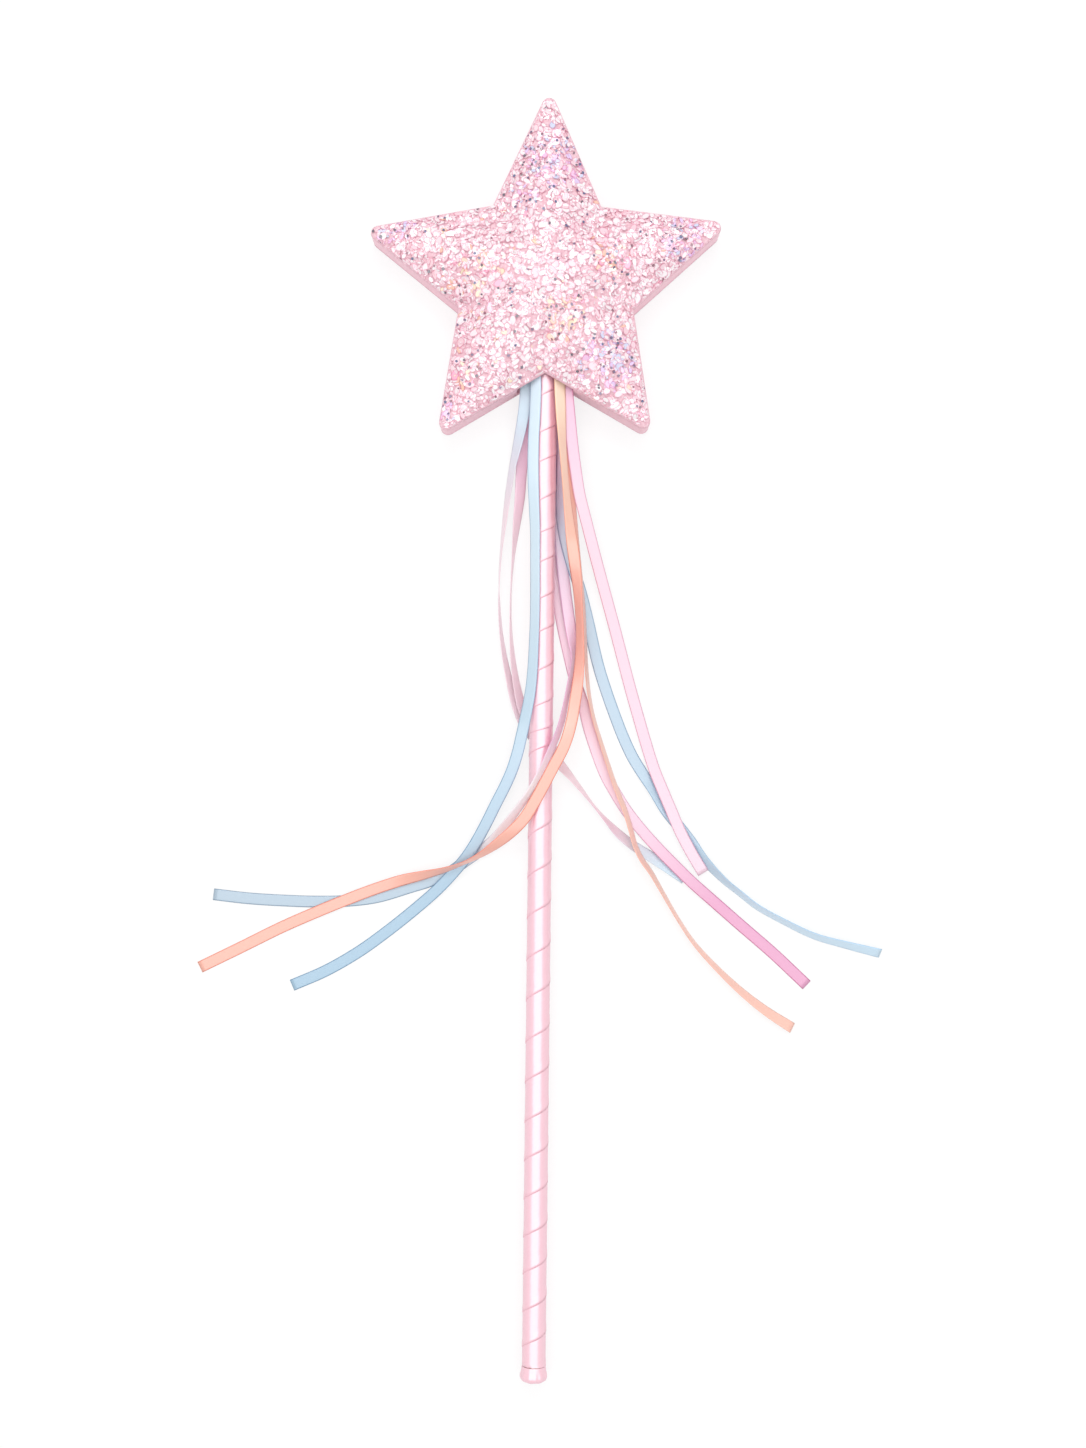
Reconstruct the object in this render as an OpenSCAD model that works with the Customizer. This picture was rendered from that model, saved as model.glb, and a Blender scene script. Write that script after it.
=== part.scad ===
// Toy star wand: a padded glitter star on a ribbon-wrapped stick, with loose satin streamers.
// It lies on its back: +Y runs up the stick to the star, +Z out of the star's face, floor at z = 0.
// The origin is under the middle of the wand's length.

/* [Overall] */
// Length from the star's top tip to the end of the stick
wand_l = 350; // [320:1:380]

/* [Star] */
// From the star's centre to the end of a rounded tip
star_reach = 49.6; // [46:0.2:54]
// From the star's centre to an inner corner
star_waist = 25; // [23:0.2:27]
// Radius of a rounded tip
tip_round = 2; // [1.4:0.1:3]
// Thickness of the felt back
back_t = 1; // [0.6:0.1:1.6]
// Thickness of the stiff foam core
core_h = 8.6; // [8:0.1:11]
// Thickness of the fabric band round the side
band_t = 0.8; // [0.4:0.1:1.1]
// Thickness of the glitter cover at its edge
rim_h = 1.2; // [0.8:0.1:2]
// Rounding of the glitter cover's edge
rim_soft = 0.4; // [0.2:0.1:0.6]
// Rise of the cover's middle above its edge
crown_h = 8; // [5:0.5:11]
// Thickness of the cover over the middle of the padding
cover_t = 0.9; // [0.6:0.1:1.4]
// Width of the glued margin round the padding
margin_w = 2.2; // [1.5:0.1:3.5]

/* [Mouth] */
// Width of the slot in the star where the stick and the ribbons go in
mouth_w = 15; // [14:0.5:18]
// Depth of the slot from the star's inner corner
mouth_depth = 12; // [9:0.5:16]
// Depth of the glue at the bottom of the slot
plug_depth = 5; // [3:0.5:7]

/* [Stick] */
// Diameter of the wooden dowel
dowel_d = 6; // [5:0.1:6.4]
// Length of dowel inside the star
dowel_insert = 32; // [24:1:40]
// Chamfer on the dowel's ends
dowel_chamfer = 0.4; // [0.2:0.1:0.8]

/* [Stick wrap] */
// Turns of satin ribbon wound along the stick
wrap_turns = 24; // [18:1:24]
// Thickness of the wound ribbon
wrap_t = 0.3; // [0.2:0.05:0.5]
// Open seam between one turn and the next
wrap_gap = 0.6; // [0.5:0.1:1.2]
// Length of wrapped stick hidden inside the slot
wrap_tuck = 1.5; // [1:0.5:4]

/* [End fold] */
// Diameter of the ribbon folded over the stick's end
fold_d = 7.5; // [7.1:0.1:8.5]
// Length of the fold along the stick
fold_l = 4.5; // [3.5:0.1:7]
// Thickness of the fold across the stick's end
fold_t = 0.8; // [0.5:0.1:1.2]
// Rounding of the fold's outer edge
fold_round = 1.2; // [0.6:0.1:1.6]

/* [Streamers] */
// Width of a satin streamer
ribbon_w = 3.2; // [2.4:0.1:3.4]
// Thickness of a satin streamer
ribbon_t = 0.25; // [0.15:0.05:0.3]

/* [Hidden] */

// Clearance between glued pieces
fit = 0.05;
arms = 5;
half_arm = 180 / arms;
arc_steps = 4;
round_fn = 64;

// Places along the wand
star_y = wand_l / 2 - star_reach;
notch_y = star_y - star_waist;
stick_end_y = -wand_l / 2;
core_top = back_t + core_h;
stick_z = back_t + core_h / 2;
slot_end_y = notch_y + mouth_depth;

// The star's outline: straight edges that run from the inner corners and touch the tip circles
tip_centre = star_reach - tip_round;
corner = star_waist * [cos(half_arm), sin(half_arm)];
to_tip = [tip_centre, 0] - corner;
edge_turn = atan2(to_tip.y, to_tip.x) + asin(tip_round / norm(to_tip));
tip_sweep = edge_turn + 90;
edge_distance = star_waist * cos(half_arm - tip_sweep);

// The star is cut by hand: how far each tip leans round the star in degrees, and falls short in
// millimetres, from the top tip on to the left
tip_lean = [-0.3, 2.9, 1.5, -0.8, 0];
tip_trim = [0, 0.2, 0.5, 1.3, 0];

function turned(p, a) = [p.x * cos(a) - p.y * sin(a), p.x * sin(a) + p.y * cos(a)];

// The outline drawn in by a distance, about the star's own centre, first arm along +Y
function star_outline(inset = 0) = [
    for (k = [0 : arms - 1])
        let (a = 90 + 2 * half_arm * k)
        for (i = [0 : arc_steps + 1])
            i <= arc_steps
                ? let (s = tip_sweep * (2 * i / arc_steps - 1), r = tip_round - inset)
                  turned([tip_centre - tip_trim[k] + r * cos(s), r * sin(s)], a + tip_lean[k])
                : turned(corner * (1 - inset / edge_distance), a)
];

// Padding and cover: how far the face has risen at a share of the way from its edge to its middle
puff_power = 1.25;
function puff(s) = 1 - pow(1 - s, puff_power);
face_steps = [0.12, 0.3, 0.5, 0.7, 0.85, 0.95];
pad_share = 1 - margin_w / edge_distance;
pad_h = rim_h + crown_h - cover_t - fit;
function pad_top(u) = core_top + pad_h * puff(1 - u);
function cover_top(u) = core_top + rim_h + crown_h * puff(1 - u);

// Stick wrap: one strip on a helix, with its width and pitch from the turns and the seam.
// Both its ends are trimmed level with the ends of the wrapped length.
wrap_rings = 24;
wrap_phase = 60;
wrap_top_y = notch_y + wrap_tuck;
wrap_low_y = stick_end_y + fold_l + fit;
wrap_pitch = (wrap_top_y - wrap_low_y + wrap_gap) / (wrap_turns - 1);
strip_w = wrap_pitch - wrap_gap;
strip_in = dowel_d / 2 + fit;
strip_out = strip_in + wrap_t;
strip_bevel = wrap_t;
wrap_first = wrap_rings / 8;
wrap_last = wrap_turns * wrap_rings - wrap_first;
function wrap_low(i) = max(wrap_low_y, wrap_low_y + wrap_pitch * (i / wrap_rings - 1));
function wrap_high(i) = min(wrap_top_y, wrap_low_y + wrap_pitch * (i / wrap_rings - 1) + strip_w);
function wrap_point(i, y, r) =
    let (a = wrap_phase - 360 * i / wrap_rings)
    [r * cos(a), y, stick_z + r * sin(a)];
function wrap_ring(i) =
    let (low = wrap_low(i), high = wrap_high(i), bevel = min(strip_bevel, (high - low) / 4))
    [
        wrap_point(i, low, strip_in),
        wrap_point(i, high, strip_in),
        wrap_point(i, high, strip_in + wrap_t / 2),
        wrap_point(i, high - bevel, strip_out),
        wrap_point(i, low + bevel, strip_out),
        wrap_point(i, low, strip_in + wrap_t / 2)
    ];
wrap_least_gap = min([
    for (i = [wrap_first : wrap_last - wrap_rings])
        for (j = [max(wrap_first, i + wrap_rings - 3) : min(wrap_last, i + wrap_rings + 3)])
            norm(wrap_point(i, wrap_high(i), strip_in) - wrap_point(j, wrap_low(j), strip_in))
]);
echo(str("least gap of the stick wrap to itself: ", wrap_least_gap, " mm"));

// Streamer routes, from the slot in the star to the cut end: x, y, z of the middle line, and the
// roll in degrees, 0 with the ribbon flat and 90 with it on edge.
blue_left_route = [
    [-5.4, 107, 6.5, 0], [-5.2, 98, 6.4, 0], [-5.8, 90, 5.6, -10], [-7.2, 82.5, 4.6, -35],
    [-8.8, 75, 3.7, -55], [-9.9, 67.5, 3, -60], [-10.8, 60, 2.4, -68], [-11.6, 52.5, 2, -78],
    [-12, 45, 1.8, -84], [-11.9, 37.5, 1.8, -98], [-11.3, 30, 1.8, -105], [-10.2, 23, 1.7, -114],
    [-8.9, 17, 1.6, -124], [-7.4, 11.5, 1.3, -138], [-5.4, 6.5, 0.9, -154], [-2.9, 2.6, 0.5, -170],
    [0, -0.4, 0.3, -180], [2.8, -3.3, 0.5, -170], [5.6, -6.3, 1.1, -144], [8.6, -9.7, 1.6, -122],
    [12, -13.8, 1.8, -108], [15.2, -17.8, 1.8, -100], [18.2, -21.2, 1.7, -110], [21.6, -24.8, 1.4, -132],
    [25.6, -28, 1.1, -144], [30.4, -31, 1, -152], [35.6, -34.2, 0.7, -164], [40.2, -37.2, 0.4, -175]
];
pink_left_route = [
    [-5.4, 107, 4.5, 0], [-5.2, 98, 4.5, 0], [-5.2, 90, 3.7, 0], [-5.4, 82.5, 3, 5],
    [-6.2, 75, 2.5, 18], [-6.6, 67.5, 2.2, 32], [-7.4, 60, 2, 52], [-8.1, 52.5, 1.9, 74],
    [-8.6, 45, 1.8, 84], [-8.8, 37.5, 1.8, 84], [-8.6, 30, 1.8, 78], [-8, 23, 1.9, 66],
    [-7.1, 17, 1.9, 56], [-5.9, 11.5, 1.8, 42], [-4, 6.5, 1.4, 26], [-1.6, 2.8, 1.1, 10],
    [1.2, 0, 0.9, 0], [3.2, -2, 1, 6], [5.2, -4.2, 1.3, 18]
];
blue_front_route = [
    [-3.4, 107, 8.6, -20], [-2.6, 98, 8.6, -20], [-2.7, 90, 8.4, -20], [-3, 82, 8.2, -20],
    [-3, 74, 8.2, -20], [-2.7, 66, 8.4, -28], [-2.3, 58, 8.5, -36], [-2.2, 50, 8.5, -38],
    [-2.1, 42, 8.5, -38], [-2.1, 34, 8.5, -38], [-2.3, 26, 8.5, -36], [-2.6, 19, 8.3, -32],
    [-3.2, 13, 7.9, -26], [-4.2, 7.5, 7.3, -22], [-5.2, 2.5, 6.3, -10], [-6.3, -2.5, 5.4, -4],
    [-7.8, -7.5, 4.7, 0], [-9.8, -12.2, 4.1, 0], [-12.2, -17, 3.6, 0], [-14.6, -22, 3.2, 0],
    [-17.2, -27, 2.9, 0], [-20, -31.5, 2.5, 0], [-23.6, -36, 1.8, 0], [-28, -40.8, 1.1, 0],
    [-33.5, -45.8, 0.5, 0], [-41, -52, 0.2, 0], [-49.5, -58.3, 0.2, 0], [-58.6, -63.7, 0.2, 0],
    [-68, -67.9, 0.2, 0]
];
coral_front_route = [
    [3.9, 107, 8.6, 10], [4, 98, 8.4, 20], [4.4, 90, 8.4, 30], [4.9, 82, 8.5, 48],
    [5.6, 74, 8.3, 54], [6.4, 66, 7.8, 48], [7.4, 58, 7.2, 28], [8.4, 51, 6.8, -5],
    [9.3, 44, 6.5, -36], [9.9, 37, 6.2, -50], [10.3, 30, 5.9, -50], [10.3, 23, 5.7, -40],
    [9.9, 17, 5.8, -20], [9.2, 11.5, 6.2, 0], [8.4, 6.5, 7.3, 0], [7.3, 2, 8.5, 0],
    [5.8, -2, 9.3, 0], [3.9, -5.6, 9.7, 0], [2, -9.3, 9.8, 0], [0, -13.2, 9.8, 0],
    [-2.2, -17.2, 9.6, 0], [-4.6, -21, 9.1, 0], [-8, -24.6, 8.2, 15], [-11.8, -27.8, 6.9, 35],
    [-16, -30.8, 5.5, 58], [-20.8, -33.3, 4.4, 70], [-26.5, -35.4, 3.5, 58], [-32.5, -37, 2.3, 35],
    [-38.5, -38.6, 1.3, 15], [-46, -41.2, 0.8, 5], [-53.6, -44.2, 0.8, 0], [-62.5, -48, 0.6, 0],
    [-71.5, -52.1, 0.3, 0], [-82.5, -57.7, 0.2, 0], [-93.5, -63.2, 0.2, 0]
];
coral_thin_route = [
    [5.4, 107, 6.3, 0], [5.6, 98, 6.2, 0], [6.2, 90, 5.9, 15], [6.8, 82, 5.5, 30],
    [7.3, 74, 5.1, 45], [7.9, 66, 4.8, 55], [8.8, 58, 4.5, 62], [9.8, 50, 4.2, 68],
    [10.7, 43, 3.9, 72], [11.4, 36, 3.4, 72], [11.8, 29, 2.8, 72], [12.2, 22, 2.4, 72],
    [13, 14, 2.3, 72], [14.4, 7, 2.3, 72], [16.6, 0, 2.3, 70], [18.8, -6.6, 2.4, 68],
    [20.3, -11, 2.6, 66], [21.9, -15, 3, 64], [23.5, -19, 3.5, 64], [24.9, -23.5, 3.9, 64],
    [26.2, -28, 4.1, 64], [28.2, -32, 3.8, 64], [30.8, -35.6, 3.1, 66], [34.6, -42, 2.1, 70],
    [38.5, -48.5, 1.7, 72], [43, -55, 1.7, 70], [49, -61.5, 1.6, 64], [56, -68, 1.5, 54],
    [63, -73.4, 1.3, 42], [70.3, -78, 1, 28]
];
pink_right_route = [
    [5.6, 107, 7.4, 0], [5.9, 98, 7.3, 0], [6.7, 90, 7, 0], [7.6, 82, 6.5, 0],
    [8.6, 75, 6, 0], [9.8, 68, 5.4, 0], [11.4, 62, 4.7, 0], [13.3, 55, 3.9, 0],
    [15.4, 47.5, 3.1, 0], [17.7, 39.5, 2.3, 0], [20, 31.5, 1.6, 0], [22.2, 23.5, 1.1, 0],
    [24.4, 15.5, 0.8, 0], [26.6, 8, 0.8, 0], [29, 0, 0.9, 0], [31.3, -7, 1.2, 0],
    [33.8, -13, 1.7, 0], [36.2, -18.5, 1.8, 0], [38.6, -24, 1.8, 0], [41.7, -29.8, 1.7, 0],
    [45.2, -35.5, 1.2, 0]
];
blue_right_route = [
    [5.4, 107, 5.2, 0], [5.4, 98, 5.1, 0], [5.2, 90, 4.9, -5], [5, 82, 4.6, -15],
    [4.9, 74, 4.2, -25], [4.8, 66, 3.9, -25], [5.5, 58.7, 3.4, -15], [6.8, 53, 2.9, -10],
    [8.5, 47.5, 2.3, -5], [10.2, 42.5, 1.6, 0], [11.6, 37.5, 1.1, 0], [13, 32, 0.7, 0],
    [14.4, 26, 0.4, 0], [16, 20, 0.3, 0], [18, 14, 0.2, 0], [20.2, 8, 0.2, 0],
    [22.6, 2, 0.2, 0], [25.2, -3.5, 0.2, 0], [28, -8, 0.4, 8], [31, -12.5, 0.8, 22],
    [34.2, -17.6, 0.6, 14], [36.2, -20.2, 0.3, 0], [38.4, -22.8, 0.4, -8], [41.6, -26.8, 0.6, -15],
    [45, -31.4, 1.2, -38], [50.6, -37.2, 1.6, -56], [55.4, -41, 1.6, -60], [60.4, -44.8, 1.6, -60],
    [67.9, -48.8, 1.6, -58], [76.3, -52.6, 1.5, -54], [85.4, -55, 1.4, -46], [94.3, -57.1, 1.2, -36]
];
pink_under_route = [
    [5.4, 107, 3, 0], [5.2, 98, 2.8, 0], [4.8, 90, 2, 0], [4.4, 82, 1.2, 0],
    [4, 74, 0.6, 0], [3.6, 66, 0.3, 0], [3.2, 58, 0.3, 0], [3.3, 50, 0.3, 0],
    [3.9, 42, 0.3, 0], [5.2, 34, 0.3, 0], [7, 26, 0.3, 0], [9, 18, 0.3, 0],
    [11.4, 11, 0.3, 0], [13.2, 4, 0.3, 0], [15.4, -2.5, 0.3, 0], [17.8, -8.5, 0.3, 0],
    [20.6, -13.5, 0.3, 0], [24, -18.8, 0.5, 0], [28, -23.8, 1, 0], [32.4, -28.6, 1.6, 0],
    [37, -33.2, 1.8, 0], [42, -38, 1.5, 0], [48, -43.2, 0.9, 0], [55.8, -49.9, 0.4, 0],
    [65, -57.7, 0.2, 0], [74.2, -66.2, 0.2, 0]
];
blue_over_route = [
    [5.4, 107, 4.1, 0], [5.4, 98, 4, 0], [5.2, 90, 3.6, 0], [5, 82, 3.2, 0],
    [4.8, 74, 2.8, 0], [4.6, 66, 2.4, 0], [4.6, 58, 2.1, 0], [5.2, 50, 1.8, 0],
    [6.2, 42, 1.6, 5], [7.4, 34, 1.7, 12], [8.4, 28, 2.1, 36], [8.7, 24, 2.6, 62],
    [8.3, 20, 3.1, 66], [7.6, 16, 3.8, 66], [6.8, 11.5, 4.7, 65], [5.8, 6.5, 6, 60],
    [4.4, 2, 7.6, 58], [2.6, -2.2, 9.6, 56], [0.9, -6.2, 10.3, 56], [-1.1, -10.2, 10.3, 56],
    [-3.2, -13.9, 9.8, 54], [-5.6, -17.4, 8.7, 50], [-8, -20.8, 7.2, 42], [-10.1, -24, 5.1, 18],
    [-12.6, -27, 3, 0], [-16.3, -30, 1.5, 0], [-20.6, -33.1, 0.8, 0], [-25.2, -36.4, 0.5, 0],
    [-30, -38.6, 0.3, 0], [-35.5, -40.4, 0.2, 0], [-44.5, -43.2, 0.2, 0], [-53, -44.4, 0.2, 0],
    [-62, -44.7, 0.2, 0], [-71, -44.5, 0.2, 0], [-80.5, -44, 0.2, 0], [-90, -43, 0.2, 0]
];

blue = "#bfd9ee";
coral = "#f9b49e";
pale_pink = "#f8d9e6";
mid_pink = "#f3bdd8";
wrap_pink = "#f7c6d3";

// A closed skin over rings of equal count, with flat ends. Sides that face each other are split
// along the same diagonal, so a twisted strip keeps its thickness.
module skin(rings) {
    n = len(rings[0]);
    last = (len(rings) - 1) * n;
    points = [for (ring = rings) each ring];
    sides = [
        for (i = [0 : len(rings) - 2])
            for (j = [0 : n - 1])
                let (a = i * n + j, b = i * n + (j + 1) % n)
                each j < n / 2 ? [[a, b, b + n], [a, b + n, a + n]] : [[a, b, a + n], [b, b + n, a + n]]
    ];
    first_end = [for (j = [1 : n - 2]) [0, j + 1, j]];
    last_end = [for (j = [1 : n - 2]) [last, last + j, last + j + 1]];
    polyhedron(points, [each sides, each first_end, each last_end], convexity = 10);
}

// A solid of star-shaped rings from an upper pole to a lower pole, from rows of share and height
module star_loft(rows) {
    outline = star_outline();
    n = len(outline);
    last = len(rows) - 1;
    points = [
        [0, star_y, rows[0][1]],
        for (k = [1 : last - 1])
            for (p = outline)
                [p.x * rows[k][0], p.y * rows[k][0] + star_y, rows[k][1]],
        [0, star_y, rows[last][1]]
    ];
    low_pole = len(points) - 1;
    low_ring = low_pole - n;
    crown = [for (j = [0 : n - 1]) [0, 1 + (j + 1) % n, 1 + j]];
    base = [for (j = [0 : n - 1]) [low_pole, low_ring + j, low_ring + (j + 1) % n]];
    sides = [
        for (k = [0 : last - 3])
            for (j = [0 : n - 1])
                let (a = 1 + k * n + j, b = 1 + k * n + (j + 1) % n)
                each [[a, b, b + n], [a, b + n, a + n]]
    ];
    polyhedron(points, [each crown, each sides, each base], convexity = 10);
}

// A flat streamer swept along its route, rolled about its own line
module streamer(route) {
    last = len(route) - 1;
    function place(i) = [route[i][0], route[i][1], route[i][2]];
    skin([
        for (i = [0 : last])
            let (
                step = place(min(i + 1, last)) - place(max(i - 1, 0)),
                along = step / norm(step),
                level = cross(along, [0, 0, 1]),
                side = level / norm(level),
                rise = cross(side, along),
                wide = (side * cos(route[i][3]) + rise * sin(route[i][3])) * ribbon_w / 2,
                thick = (rise * cos(route[i][3]) - side * sin(route[i][3])) * ribbon_t / 2
            )
            [place(i) - wide - thick, place(i) + wide - thick, place(i) + wide + thick, place(i) - wide + thick]
    ]);
}

// Places a child's +Z along the stick, downwards from a place on it
module down_stick(y) {
    translate([0, y, stick_z]) rotate([90, 0, 0]) children();
}

// The slot at the star's lower inner corner, open towards the stick
module mouth_cut() {
    translate([-mouth_w / 2, notch_y - star_waist, back_t])
        cube([mouth_w, star_waist + mouth_depth, core_h]);
}

module star_back_cover() {
    color("#f2bccb")
        translate([0, star_y, 0]) linear_extrude(back_t) polygon(star_outline());
}

module star_core() {
    color("#f6e3e8")
        difference() {
            translate([0, star_y, back_t]) linear_extrude(core_h) polygon(star_outline(band_t + fit));
            mouth_cut();
            down_stick(notch_y + dowel_insert + fit)
                cylinder(d = dowel_d + 2 * fit, h = dowel_insert + star_waist, $fn = round_fn);
        }
}

module star_edge_band() {
    color("#f3b6c8")
        difference() {
            translate([0, star_y, back_t])
                linear_extrude(core_h)
                    difference() {
                        polygon(star_outline());
                        polygon(star_outline(band_t));
                    }
            mouth_cut();
        }
}

module star_padding() {
    color("#fbf4f4")
        star_loft([
            [0, pad_top(0)],
            for (u = face_steps) [u * pad_share, pad_top(u)],
            [pad_share, core_top],
            [0, core_top]
        ]);
}

module star_front_cover() {
    color("#f7ccd8")
        star_loft([
            [0, cover_top(0)],
            for (u = face_steps) [u, cover_top(u)],
            [1 - rim_soft / edge_distance, core_top + rim_h],
            [1, core_top + rim_h - rim_soft],
            [1, core_top],
            [pad_share + fit / edge_distance, core_top],
            for (i = [len(face_steps) - 1 : -1 : 0])
                [face_steps[i] * pad_share, pad_top(face_steps[i]) + fit],
            [0, pad_top(0) + fit]
        ]);
}

module stick_dowel() {
    dowel_top = notch_y + dowel_insert;
    dowel_l = dowel_top - stick_end_y - fold_t - fit;
    r = dowel_d / 2;
    color("#e3c9a4")
        down_stick(dowel_top)
            rotate_extrude($fn = round_fn)
                polygon([
                    [0, 0], [r - dowel_chamfer, 0], [r, dowel_chamfer],
                    [r, dowel_l - dowel_chamfer], [r - dowel_chamfer, dowel_l], [0, dowel_l]
                ]);
}

module stick_wrap() {
    color(wrap_pink) skin([for (i = [wrap_first : wrap_last]) wrap_ring(i)]);
}

module stick_end_fold() {
    r = fold_d / 2;
    bend = [for (a = [0 : 15 : 90]) [r - fold_round + fold_round * cos(a), fold_l - fold_round + fold_round * sin(a)]];
    color("#f5bfce")
        down_stick(stick_end_y + fold_l)
            difference() {
                rotate_extrude($fn = round_fn)
                    polygon([[0, 0], [r, 0], each bend, [0, fold_l]]);
                translate([0, 0, -fold_t])
                    cylinder(d = dowel_d + 2 * fit, h = fold_l, $fn = round_fn);
            }
}

module glue_plug() {
    color("#f4efe2")
        difference() {
            translate([fit - mouth_w / 2, slot_end_y - plug_depth, back_t])
                cube([mouth_w - 2 * fit, plug_depth - fit, core_h]);
            down_stick(slot_end_y + plug_depth)
                cylinder(d = dowel_d + 2 * fit, h = 3 * plug_depth, $fn = round_fn);
        }
}

module ribbon_blue_left() { color(blue) streamer(blue_left_route); }
module ribbon_pink_left() { color(pale_pink) streamer(pink_left_route); }
module ribbon_blue_front() { color(blue) streamer(blue_front_route); }
module ribbon_coral_front() { color(coral) streamer(coral_front_route); }
module ribbon_coral_thin() { color(coral) streamer(coral_thin_route); }
module ribbon_pink_right() { color(pale_pink) streamer(pink_right_route); }
module ribbon_blue_right() { color(blue) streamer(blue_right_route); }
module ribbon_pink_under() { color(mid_pink) streamer(pink_under_route); }
module ribbon_blue_over() { color(blue) streamer(blue_over_route); }

star_back_cover();
star_core();
star_edge_band();
star_padding();
star_front_cover();
stick_dowel();
stick_wrap();
stick_end_fold();
glue_plug();
ribbon_blue_left();
ribbon_pink_left();
ribbon_blue_front();
ribbon_coral_front();
ribbon_coral_thin();
ribbon_pink_right();
ribbon_blue_right();
ribbon_pink_under();
ribbon_blue_over();
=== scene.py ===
import bisect
import math
import random

import bmesh
import bpy
from mathutils import Matrix, Vector, noise
from mathutils.bvhtree import BVHTree


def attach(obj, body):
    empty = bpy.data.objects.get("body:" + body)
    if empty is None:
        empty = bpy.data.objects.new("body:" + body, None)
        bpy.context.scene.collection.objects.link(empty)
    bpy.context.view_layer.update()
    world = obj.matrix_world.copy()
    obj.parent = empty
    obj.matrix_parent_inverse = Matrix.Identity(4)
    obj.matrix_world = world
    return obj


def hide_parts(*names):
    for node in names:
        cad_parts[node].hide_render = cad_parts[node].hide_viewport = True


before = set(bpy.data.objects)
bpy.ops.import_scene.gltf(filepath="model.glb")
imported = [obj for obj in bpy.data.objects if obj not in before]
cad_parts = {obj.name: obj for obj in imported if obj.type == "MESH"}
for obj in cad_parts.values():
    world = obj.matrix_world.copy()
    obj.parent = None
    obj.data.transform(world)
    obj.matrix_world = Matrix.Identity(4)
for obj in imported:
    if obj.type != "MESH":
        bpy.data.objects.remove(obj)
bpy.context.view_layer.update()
mm = 0.001

# Camera
# It looks straight down on the wand, with a normal lens on an upright frame.
# The wand leans a little in the picture, so the camera is turned by that much.
camera_data = bpy.data.cameras.new("overhead_camera")
camera_data.lens = 50
camera_data.sensor_width = 36
camera = bpy.data.objects.new("overhead_camera", camera_data)
camera.location = (0.5 * mm, 5.1 * mm, 556 * mm)
camera.rotation_euler = (0, 0, 0.0116)
bpy.context.scene.collection.objects.link(camera)
bpy.context.scene.camera = camera
bpy.context.scene.view_settings.view_transform = "Standard"

# White table and studio
# A white tabletop under a white room: what looks at them directly sees white, and the tabletop
# keeps the wand's soft shadow. The room gives the even fill light.
room_fill = 0.52
table_glow = 0.76
table_shade = (0.25, 0.25, 0.25, 1)
table_white = (0.9, 0.9, 0.9, 1)


def calc(nodes, links, operation, *terms):
    """A sum over sockets and plain numbers."""
    node = nodes.new("ShaderNodeMath")
    node.operation = operation
    for i, term in enumerate(terms):
        if isinstance(term, (int, float)):
            node.inputs[i].default_value = term
        else:
            links.new(term, node.inputs[i])
    return node.outputs[0]


def remap(nodes, links, value, start, end, low=0, high=1, kind="LINEAR"):
    """A value brought from one range to another, and kept within it."""
    node = nodes.new("ShaderNodeMapRange")
    node.interpolation_type = kind
    node.inputs["From Min"].default_value = start
    node.inputs["From Max"].default_value = end
    node.inputs["To Min"].default_value = low
    node.inputs["To Max"].default_value = high
    links.new(value, node.inputs["Value"])
    return node.outputs["Result"]


def direct_look(nodes, links):
    """A mask that is 1 for camera, glossy and transmission rays."""
    rays = nodes.new("ShaderNodeLightPath").outputs
    seen_or_mirrored = calc(nodes, links, "MAXIMUM", rays["Is Camera Ray"], rays["Is Glossy Ray"])
    return calc(nodes, links, "MAXIMUM", seen_or_mirrored, rays["Is Transmission Ray"])


room = bpy.data.worlds.new("white_room")
room.use_nodes = True
bpy.context.scene.world = room
nodes, links = room.node_tree.nodes, room.node_tree.links
level = remap(nodes, links, direct_look(nodes, links), 0, 1, room_fill, 1)
nodes["Background"].inputs["Color"].default_value = (1, 1, 1, 1)
links.new(level, nodes["Background"].inputs["Strength"])

bpy.ops.object.select_all(action="DESELECT")
bpy.ops.mesh.primitive_plane_add(size=30)
table = bpy.context.object
table.name = "white_table"
paint = bpy.data.materials.new("white_table")
paint.use_nodes = True
nodes, links = paint.node_tree.nodes, paint.node_tree.links
nodes.remove(nodes["Principled BSDF"])
matt = nodes.new("ShaderNodeBsdfDiffuse")
matt.inputs["Color"].default_value = table_white
shaded = nodes.new("ShaderNodeBsdfDiffuse")
shaded.inputs["Color"].default_value = table_shade
glow = nodes.new("ShaderNodeEmission")
glow.inputs["Strength"].default_value = table_glow
seen = nodes.new("ShaderNodeAddShader")
links.new(shaded.outputs[0], seen.inputs[0])
links.new(glow.outputs[0], seen.inputs[1])
choice = nodes.new("ShaderNodeMixShader")
links.new(direct_look(nodes, links), choice.inputs["Fac"])
links.new(matt.outputs[0], choice.inputs[1])
links.new(seen.outputs[0], choice.inputs[2])
links.new(choice.outputs[0], nodes["Material Output"].inputs["Surface"])
table.data.materials.append(paint)

# Lamps
# A large panel hangs over the wand, broad enough to show as a white streak along the satin stick.
# A smaller lamp beyond the star lets the shadows fall towards the stick's end.


def panel(name, wide, deep, place, aim, power):
    """A rectangular area lamp that faces the point it is aimed at."""
    data = bpy.data.lights.new(name, "AREA")
    data.shape = "RECTANGLE"
    data.size = wide
    data.size_y = deep
    data.energy = power
    lamp = bpy.data.objects.new(name, data)
    lamp.location = place
    lamp.rotation_euler = (Vector(aim) - Vector(place)).to_track_quat("-Z", "Y").to_euler()
    bpy.context.scene.collection.objects.link(lamp)


panel("overhead_panel", 1.9, 1.5, (-0.06, -0.08, 1.15), (-0.06, -0.08, 0), 9.4)
panel("star_side_lamp", 0.8, 0.3, (0, 0.8, 1.0), (0, 0.02, 0), 3.2)

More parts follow.
